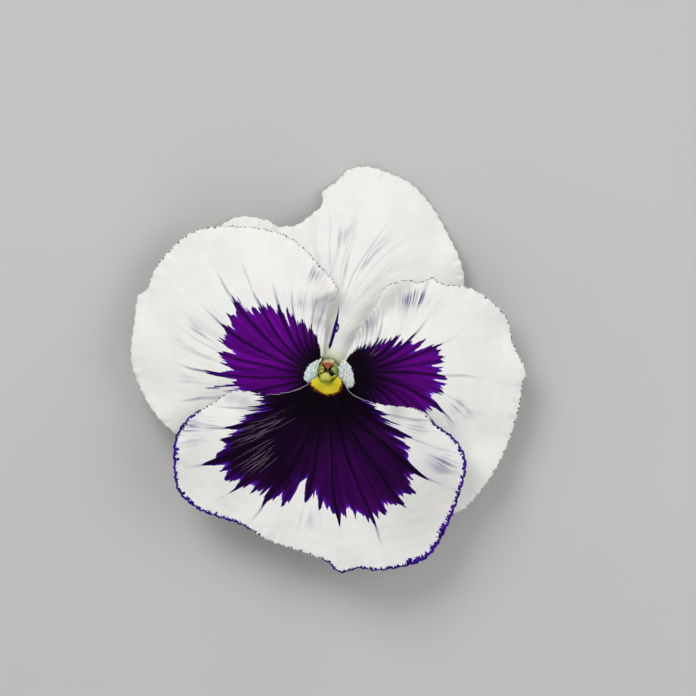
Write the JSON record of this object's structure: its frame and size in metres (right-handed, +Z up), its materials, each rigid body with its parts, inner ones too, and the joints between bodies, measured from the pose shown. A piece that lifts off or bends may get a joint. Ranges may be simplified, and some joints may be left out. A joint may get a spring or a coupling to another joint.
{
  "type": "pansy flower",
  "caption": "Picked white and violet garden pansy laid face up: overlapping petals round a yellow eye, green sepals behind, on a short cut stalk.",
  "frame": {"origin": "on the table straight below the flower's eye, on the flat underside of the stalk", "axes": "+Z up, the way the flower faces; +Y from the eye toward the upper petals; the stalk runs along -Y"},
  "size_m": [0.078, 0.0803, 0.0157],
  "materials": {
    "petal_white": "soft matt petal",
    "sepal_green": "matt leaf green",
    "stalk_green": "smooth pale green",
    "stigma_yellow": "moist yellow green",
    "anther_orange": "matt orange brown"
  },
  "bodies": {
    "root": {"petal_upper_left": "petal_white", "petal_upper_right": "petal_white", "petal_left": "petal_white", "petal_right": "petal_white", "petal_lower": "petal_white", "sepal_top": "sepal_green", "sepal_left": "sepal_green", "sepal_right": "sepal_green", "sepal_lower_left": "sepal_green", "sepal_lower_right": "sepal_green", "stalk": "stalk_green", "pistil": "stigma_yellow", "stamens": "anther_orange"}
  },
  "joints": []
}
